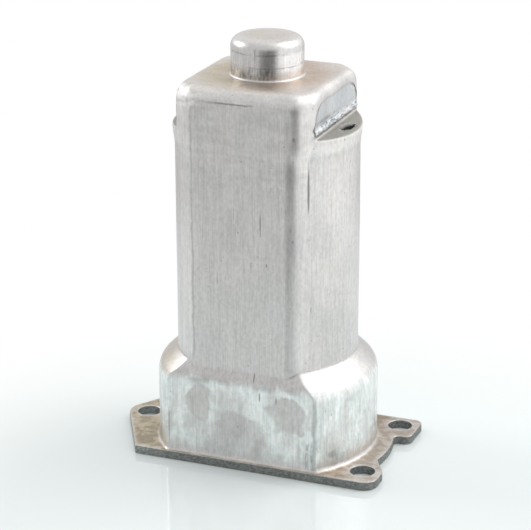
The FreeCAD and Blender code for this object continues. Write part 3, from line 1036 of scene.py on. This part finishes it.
    def bloom_masks(self):
        """Where bloom covers the base, where it is pale, and where the front flat is free of it."""
        u, _, v = self.split(self.wander(self.wander(self.where, 0.2, 5.5), 1.3, 1.1))
        on_front = self.ramp(self.y, -16.6, -17.0)
        on_base = self.both(self.ramp(v, 21.6, 19.6), self.ramp(v, 2.2, 5.4), self.on_wall)
        patchy = self.haze((0.16, 0.16, 0.1), 3.0, 171.0, 0.36, 0.5, 0.55, 1.0)
        cleaned = self.both(self.ramp(self.patches(u, v, GREY_PATCHES), 1.16, 0.94), patchy)
        thin = self.both(self.ramp(self.patches(u, v, THIN_PATCHES), 1.5, 0.6), 0.5)
        elsewhere = self.haze((0.12, 0.12, 0.12), 3.0, 33.0, 0.5, 0.6)
        elsewhere = self.both(elsewhere, self.ramp(self.y, -16.0, -12.0), 0.55)
        free = self.less(1.0, self.most(self.both(self.most(cleaned, thin), on_front), elsewhere))
        streaky = self.haze((0.9, 0.9, 0.14), 4.0, 51.0, 0.3, 0.62, 0.5, 1.0)
        clouds = self.haze((0.22, 0.22, 0.2), 4.0, 57.0, 0.36, 0.5, 0.5, 1.0)
        pale = self.both(self.ramp(self.patches(u, v, PALE_PATCHES), 1.25, 0.75), on_front)
        pale = self.most(pale, self.haze((0.35, 0.35, 0.2), 3.0, 61.0, 0.42, 0.6, 0.0, 0.8))
        return self.both(on_base, free, streaky, clouds), pale, self.both(cleaned, on_base, on_front)

    def wall_colour(self, bloom, pale):
        """Bare metal, the bloom on the base, and the cooler panel of each facet."""
        bare = self.mix(self.haze((0.2, 0.2, 0.1), 3.0, 21.0, 0.35, 0.65), BARE, BARE_COOL)
        colour = self.mix(bloom, bare, self.mix(pale, BLOOM, BLOOM_PALE))
        cool = self.haze((0.15, 0.15, 0.2), 3.0, 181.0, 0.38, 0.55, 0.5, 0.95)
        panel = self.both(self.ramp(self.arch, ARCH_R, ARCH_R - 0.3), self.on_facet, cool)
        return self.mix(panel, colour, COOL)

    def top_film(self):
        """How much film covers the plate and the boss's top."""
        up = self.both(self.ramp(self.facing, 0.8, 0.97), self.ramp(self.z, 86.0, 86.8))
        on_plate = self.both(self.ramp(self.radius, 18.0, 10.0, 0.3, 1.0), self.ramp(self.radius, 7.2, 8.2))
        on_boss_top = self.ramp(self.radius, 6.4, 3.6, 0.05, 0.45)
        patchy = self.haze((0.2, 0.2, 0.2), 4.0, 71.0, 0.35, 0.6, 0.7, 1.0)
        return self.both(up, self.most(on_plate, on_boss_top), patchy)

    def film_colour(self, colour):
        """The colour with brown film on what faces up, dark stains on the flange, and on the ledges a dark
        film with painted shade.
        """
        x, z, facing, rim = self.x, self.z, self.facing, self.zone("rim")
        on_flange = self.both(self.ramp(facing, 0.6, 0.95), self.ramp(z, 3.4, 2.4))
        on_flange = self.both(on_flange, self.ramp(x, 21.0, 26.0, 1.0, 0.6))
        shoulder = self.both(self.ramp(facing, 0.25, 0.6), self.ramp(x, -14.0, -19.0))
        shoulder = self.both(shoulder, self.band(z, 22.0, 2.6, 1.5), 0.5)
        film = self.both(self.most(self.top_film(), on_flange, shoulder), 0.9)
        colour = self.mix(film, colour, self.mix(self.ramp(x, -6.0, 4.0), FILM, FILM_ROSY))
        stained = self.haze((0.4, 0.4, 0.4), 5.0, 76.0, 0.4, 0.58)
        low_flange = self.both(on_flange, self.ramp(rim, 0.9, 0.3), stained, 0.75)
        colour = self.mix(low_flange, colour, FILM_DARK)
        colour = self.mix(self.both(rim, self.ramp(stained, 0.0, 1.0, 0.7, 0.2)), colour, BARE)
        # Painted shade of each ledge's hollow, together with its dark brownish film
        on_ledge = self.both(self.ramp(facing, 0.35, 0.7), self.band(z, 76.9, 0.8, 0.5))
        return self.mix(self.both(on_ledge, self.swing(self.mottle, 0.65, 0.95)), colour, LEDGE_FILM_AND_SHADE)

    def crease_reflections_and_shade(self):
        """Painted dark reflection in a strip along the front flat's right crease, painted shade in a line
        along its left groove, and painted dark reflection in a line down the base's crease.
        """
        x, z, front = self.x, self.z, self.front
        # Painted dark reflection along the right crease
        strip = self.both(self.band(self.ragged_x, GROOVE_X, 0.4, 0.7), self.ramp(z, 23.0, 25.5))
        strip = self.both(strip, self.ramp(z, 84.0, 80.0), front, 0.1)
        # Painted shade in the groove along the flat's left side
        left = self.both(self.band(self.beyond, GROOVE_CORNER - 0.1, 0.08, 0.3), self.ramp(x, 2.0, -4.0))
        left = self.both(left, self.on_flat, self.ramp(self.cloud, 0.4, 0.6, 0.06, 0.2))
        # Painted dark reflection down the base's crease
        base = self.both(self.band(self.ragged_x, 17.75, 0.1, 0.55), self.ramp(z, 20.0, 18.0))
        return self.most(strip, left, self.both(base, self.ramp(z, 2.5, 4.0), front, 0.3))

    def facet_shade_lines(self):
        """Painted shade: dark lines at the ledge's root, in the roll above it, around the panel and inside
        the tear.
        """
        z, wide_x = self.z, self.wide_x
        # Painted shade in the corner at the ledge's root
        root = self.both(self.band(self.uneven_z, 77.75, 0.15, 0.3), self.band(wide_x, 16.5, 0.4, 0.5), 0.4)
        crevice = self.haze((0.8, 0.5, 2.2), 2.0, 141.0, 0.52, 0.62)
        # Painted shade in the roll's crevices
        roll = self.both(self.band(z, ROLL_Z, 0.9, 0.4), self.band(wide_x, 16.1, 0.6, 0.4))
        roll = self.both(roll, crevice, self.within_facet, 0.5)
        # Painted shade at the step around the panel
        border = self.both(self.band(self.arch, ARCH_R - 0.05, 0.09, 0.25), self.on_facet)
        border = self.both(border, self.ramp(self.wide_y, 8.0, 12.5, 0.12, 0.8))
        # Painted shade inside the tear
        tear = self.both(self.ramp(z, 76.7, 76.2), self.ramp(z, 72.0, 73.0), self.band(self.y, 0.0, 4.5, 0.5))
        return self.most(root, roll, border, self.both(tear, self.band(wide_x, 17.8, 1.8, 0.1), 0.75))

    def boss_lines(self):
        """Scratched dark root of the boss, and two faint rings around it."""
        scratched = self.haze((2.4, 2.4, 0.5), 3.0, 151.0, 0.4, 0.62, 0.1, 1.0)
        root = self.both(self.ramp(self.uneven_z, 90.4, 89.4), self.ramp(self.x, 5.2, 3.4), scratched, 0.42)
        fade = self.haze((0.35, 0.35, 0.35), 2.0, 161.0, 0.4, 0.62, 0.0, 0.3)
        low = self.both(self.band(self.uneven_z, BOSS_RING, 0.04, 0.25), fade)
        high = self.both(self.band(self.uneven_z, BOSS_HIGH_RING, 0.04, 0.3), fade)
        return self.both(self.most(root, low, high), self.on_boss)

    def body_lines(self):
        """Painted shade in the dent near the flat's top, a seam above the shoulder, painted shade along the
        fold across the base's front, and its scuffs.
        """
        x, front = self.x, self.front
        # Painted shade in the dent
        dent = self.both(self.band(self.uneven_z, 84.15, 0.04, 0.24), self.band(x, -1.8, 2.5, 3.5))
        dent = self.both(dent, front, 0.5)
        seam = self.both(self.band(self.uneven_z, 24.5, 0.04, 0.2), self.ramp(self.wide_x, 13.0, 14.5))
        seam = self.both(seam, self.ramp(self.mottle, 0.42, 0.58, 0.0, 0.32))
        # Painted shade along the fold's soft step
        fold = self.both(self.band(self.uneven_z, 20.3, 0.15, 0.8), self.ramp(self.wide_x, 15.5, 12.5), front)
        fold = self.both(fold, self.haze((0.2, 0.2, 0.2), 3.0, 191.0, 0.36, 0.6, 0.03, 0.2))
        scuffs = self.both(self.band(x, 16.6, 0.9, 2.2), self.band(self.z, 5.0, 2.0, 5.0), front, 0.8)
        scuffs = self.both(scuffs, self.haze((1.1, 1.1, 0.45), 4.0, 201.0, 0.5, 0.64, 0.0, 0.4))
        return self.most(dent, seam, fold, scuffs)

    def scratches(self):
        """The marks that the photograph shows, stray streaks and pits."""
        stray = self.both(self.haze((1.7, 1.7, 0.12), 1.0, 91.0, 0.74, 0.82, 0.0, 0.3), self.on_wall)
        dark = self.most(stray, self.haze((1.3, 1.3, 1.3), 1.0, 101.0, 0.74, 0.80, 0.0, 0.4))
        for middle_x, middle_z, half_wide, half_long, darkness in MARKS:
            across = self.ragged_x if half_wide > BROAD_MARK else self.x
            away = self.blob(across, self.z, (middle_x, middle_z), (half_wide, half_long))
            dark = self.most(dark, self.both(self.ramp(away, 1.0, 0.45), self.front, darkness))
        return dark

    def roughness(self, bloom, sheared):
        """Duller on bloom, broken metal and what faces up, and glossier on the boss."""
        up = self.both(self.ramp(self.facing, 0.8, 0.97), 0.12)
        head_edge = self.both(self.band(self.facing, 0.5, 0.25, 0.15), self.ramp(self.z, 82.0, 84.0), 0.08)
        ledge_edge = self.both(self.band(self.z, 76.6, 0.9, 0.6), self.ramp(self.wide_x, 15.0, 16.5), 0.2)
        gloss = self.add(self.swing(self.cloud, 0.33, 0.42), self.both(bloom, 0.10), self.both(sheared, 0.25))
        return self.less(self.add(gloss, up, head_edge, ledge_edge), self.both(self.on_boss, 0.12))

    def bump(self, dark):
        """Normal with the relief that is finer than the mesh."""
        lines = self.both(self.add(self.streak, self.fine), self.on_wall)
        height = self.less(self.both(self.add(lines, self.mottle), 0.5), self.both(dark, 1.5))
        node = self.nodes.new("ShaderNodeBump")
        node.inputs["Strength"].default_value = 0.5
        node.inputs["Distance"].default_value = 0.03 * MM
        self.put(node.inputs["Height"], height)
        return node.outputs[0]


def metal_material():
    """Material of the whole can."""
    material = bpy.data.materials.new("zinc_plated_steel")
    metal = Metal(material)
    bloom, pale, clean_front = metal.bloom_masks()
    # The tone holds painted highlights: the glint, below the ledges, on the rolls, on the boss and at the
    # left front corner
    tone = metal.add(metal.drawn_tone(), metal.flat_tone(), metal.head_tone(), metal.corner_highlight())
    tone = metal.less(tone, metal.add(metal.right_flange_tone(), metal.both(clean_front, 0.05)))
    # These lines are mostly painted shade and dark reflections in creases, grooves, dents, the ledges and the
    # tears
    lines = metal.most(metal.crease_reflections_and_shade(), metal.facet_shade_lines(), metal.boss_lines(), metal.body_lines())
    dark = metal.most(lines, metal.scratches())

    colour = metal.film_colour(metal.wall_colour(bloom, pale))
    # The hollow's inside is painted a plain darker grey
    colour = metal.mix(metal.zone("hollow"), colour, HOLLOW_GREY)
    colour = metal.shade(colour, metal.both(tone, metal.less(1.0, dark)))
    sheared = metal.zone("sheared")
    grain = metal.swing(metal.noise((1.6, 1.6, 3.0), 3.0, 111.0), 0.72, 1.3)
    grain = metal.both(grain, metal.ramp(metal.x, -24.0, -16.0, 1.2, 0.85))
    colour = metal.mix(sheared, colour, metal.shade(BROKEN, grain))

    shader = metal.nodes["Principled BSDF"]
    shader.inputs["Metallic"].default_value = 1.0
    metal.put(shader.inputs["Base Color"], colour)
    metal.put(shader.inputs["Roughness"], metal.roughness(bloom, sheared))
    metal.put(shader.inputs["Normal"], metal.bump(dark))
    return material


# Stage

FLOOR_R, WHITE_FROM, WHITE_TO = 160.0, 58.0, 122.0
FLOOR_SHIFT, FLOOR_SIDES = (18.0, -34.0), 96
FLOOR_COLOUR, FLOOR_ROUGHNESS, FLOOR_IOR = (0.73, 0.78, 0.775, 1), 0.03, 1.6

# Height that the lamps point at
LAMP_AIM_HEIGHT = 40.0

# The surroundings: plain strength, and how much each part adds or takes away
PLAIN, RIGHT, BACK, LEFT_FRONT, BACK_LOW, BEHIND_CAMERA = 0.765, 0.46, 0.24, 0.05, 0.1, 0.68


def add_floor():
    """Plain pale glossy floor, which fades into the white background."""
    turns = np.linspace(0, 2 * math.pi, FLOOR_SIDES + 1)[:-1]
    rim = [(FLOOR_R * MM * math.cos(turn), FLOOR_R * MM * math.sin(turn), 0) for turn in turns]
    mesh = bpy.data.meshes.new("floor")
    mesh.from_pydata(rim, [], [tuple(range(len(rim)))])
    floor = bpy.data.objects.new("floor", mesh)
    bpy.context.scene.collection.objects.link(floor)

    material = bpy.data.materials.new("floor_white")
    look = Look(material)
    x, y, _ = look.split(look.object_place())
    away = look.blob(x, y, FLOOR_SHIFT, (1.0, 1.0))
    seen = look.nodes.new("ShaderNodeLightPath").outputs["Is Camera Ray"]
    white = look.nodes.new("ShaderNodeEmission")
    blend = look.nodes.new("ShaderNodeMixShader")
    shader = look.nodes["Principled BSDF"]
    look.put(blend.inputs[0], look.both(look.ramp(away, WHITE_FROM, WHITE_TO), seen))
    look.put(blend.inputs[1], shader.outputs[0])
    look.put(blend.inputs[2], white.outputs[0])
    look.put(look.nodes["Material Output"].inputs["Surface"], blend.outputs[0])
    shader.inputs["Base Color"].default_value = FLOOR_COLOUR
    shader.inputs["Roughness"].default_value = FLOOR_ROUGHNESS
    shader.inputs["IOR"].default_value = FLOOR_IOR
    mesh.materials.append(material)


def add_world():
    """White to the camera. The can sees a soft studio: bright on the right and at the back, dark in front."""
    world = bpy.data.worlds.new("world")
    bpy.context.scene.world = world
    look = Look(world)
    x, y, z = look.split(look.nodes.new("ShaderNodeTexCoord").outputs["Generated"])
    level = look.most(look.hypot(x, y), 0.01)

    def lobe(turn, wide, narrow):
        """1 within a narrow level angle of a direction, and 0 beyond a wide one."""
        along = look.both(x, math.cos(math.radians(turn)))
        along = look.add(along, look.both(y, math.sin(math.radians(turn))))
        cosine = look.math("DIVIDE", along, level)
        return look.ramp(cosine, math.cos(math.radians(wide)), math.cos(math.radians(narrow)))

    low = look.ramp(z, 0.55, 0.2)
    behind_camera = look.both(lobe(-67.0, 34.0, 8.0), low, BEHIND_CAMERA)
    right = look.both(lobe(15.0, 72.0, 25.0), RIGHT)
    back = look.both(lobe(112.0, 75.0, 30.0), look.ramp(z, 0.0, 0.25), BACK)
    left_front = look.both(lobe(-110.0, 60.0, 15.0), low, LEFT_FRONT)
    back_low = look.both(lobe(100.0, 50.0, 15.0), look.ramp(z, 0.1, -0.1), BACK_LOW)
    strength = look.less(look.add(right, back, PLAIN), look.add(left_front, back_low))
    strength = look.both(strength, look.less(1.0, behind_camera))
    seen = look.nodes.new("ShaderNodeLightPath").outputs["Is Camera Ray"]
    background = look.nodes["Background"]
    background.inputs["Color"].default_value = (1, 1, 1, 1)
    look.put(background.inputs["Strength"], look.most(seen, strength))


def add_lamp(name, turn, rise, distance, size, power):
    """Square soft lamp that points at the can."""
    lamp = bpy.data.lights.new(name, "AREA")
    lamp.energy = power
    lamp.size = size
    holder = bpy.data.objects.new(name, lamp)
    a, e = math.radians(turn), math.radians(rise)
    way = Vector((math.cos(a) * math.cos(e), math.sin(a) * math.cos(e), math.sin(e)))
    holder.location = Vector((0, 0, LAMP_AIM_HEIGHT * MM)) + way * distance
    holder.rotation_euler = way.to_track_quat("Z", "Y").to_euler()
    bpy.context.scene.collection.objects.link(holder)


def add_camera():
    """Camera at the photograph's viewing angle."""
    turn, rise, roll = math.radians(21.650), math.radians(19.768), math.radians(-0.184)
    distance, aim_side, aim_height = 0.47621, -0.569, 42.773
    focal_pixels, picture_pixels = 2118.257, 531.0
    back_way = Vector((math.sin(turn) * math.cos(rise), -math.cos(turn) * math.cos(rise), math.sin(rise)))
    side_way = Vector((math.cos(turn), math.sin(turn), 0))
    up_way = Vector((-math.sin(turn) * math.sin(rise), math.cos(turn) * math.sin(rise), math.cos(rise)))
    right_way = side_way * math.cos(roll) + up_way * math.sin(roll)
    top_way = up_way * math.cos(roll) - side_way * math.sin(roll)
    aim = side_way * (aim_side * MM) + Vector((0, 0, aim_height * MM))
    camera = bpy.data.objects.new("camera", bpy.data.cameras.new("camera"))
    camera.data.sensor_width = 36.0
    camera.data.lens = focal_pixels * camera.data.sensor_width / picture_pixels
    camera.data.clip_start = 0.02
    camera.data.clip_end = 20.0
    rotation = Matrix((right_way, top_way, back_way)).transposed()
    camera.matrix_world = Matrix.Translation(aim + back_way * distance) @ rotation.to_4x4()
    bpy.context.scene.collection.objects.link(camera)
    bpy.context.scene.camera = camera


skin_mesh = build_can().mesh("housing_skin")
skin_mesh.materials.append(metal_material())
skin = bpy.data.objects.new("housing_skin", skin_mesh)
bpy.context.scene.collection.objects.link(skin)
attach(skin, "root")
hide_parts("housing")

add_floor()
add_world()
add_lamp("key", 32.0, 46.0, 0.7, 0.5, 1.6)
add_lamp("left", 179.0, 32.0, 0.6, 0.2, 0.75)
add_camera()
bpy.context.scene.view_settings.view_transform = "Standard"
